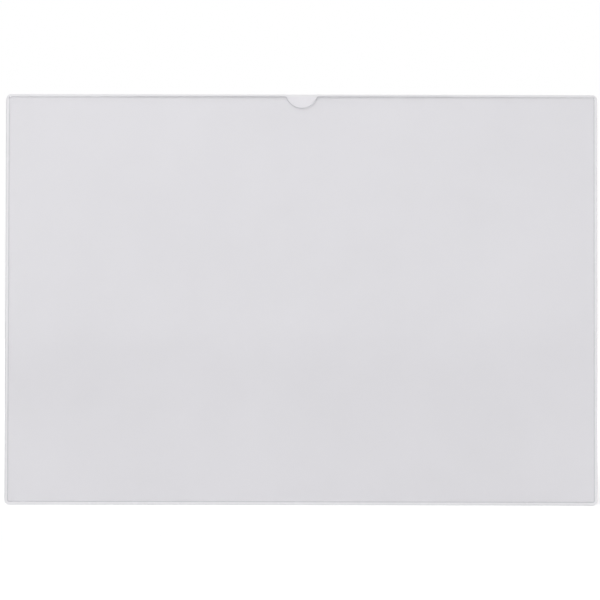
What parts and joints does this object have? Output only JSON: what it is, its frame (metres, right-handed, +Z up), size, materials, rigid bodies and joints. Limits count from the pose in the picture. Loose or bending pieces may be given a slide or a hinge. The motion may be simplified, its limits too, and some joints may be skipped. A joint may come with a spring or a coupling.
{
  "type": "magnetic card case",
  "caption": "Flat landscape card case with a clear front and white back welded on the closed edges, an open top with a thumb notch, a loose backing card and a magnetic rear face.",
  "frame": {"origin": "centre of the magnet sheet's rear face, which is the face that meets the steel board", "axes": "+X to the right as seen from the front, +Y out of the magnetic rear face towards the board, +Z up towards the open mouth"},
  "size_m": [0.31, 0.0022, 0.215],
  "materials": {
    "clear_pvc": "clear rigid PVC sheet, glossy, with frosted cut edges",
    "white_pvc": "opaque white PVC sheet with a fine satin face",
    "weld_pvc": "fused milky PVC in a narrow welded band",
    "white_card": "uncoated smooth white card",
    "adhesive_film": "thin double-faced adhesive film",
    "rubber_magnet": "rubber-bonded ferrite magnet sheet, dull dark brown-black"
  },
  "bodies": {
    "case": {"front_sheet": "clear_pvc", "back_sheet": "white_pvc", "left_weld": "weld_pvc", "right_weld": "weld_pvc", "bottom_weld": "weld_pvc", "magnet_adhesive": "adhesive_film", "magnet_sheet": "rubber_magnet"},
    "card": {"backing_card": "white_card"}
  },
  "joints": [
    {"name": "card_slide", "type": "slide", "parent": "case", "child": "card", "axis": [0, 0, 1], "range_m": [0, 0.215]}
  ]
}
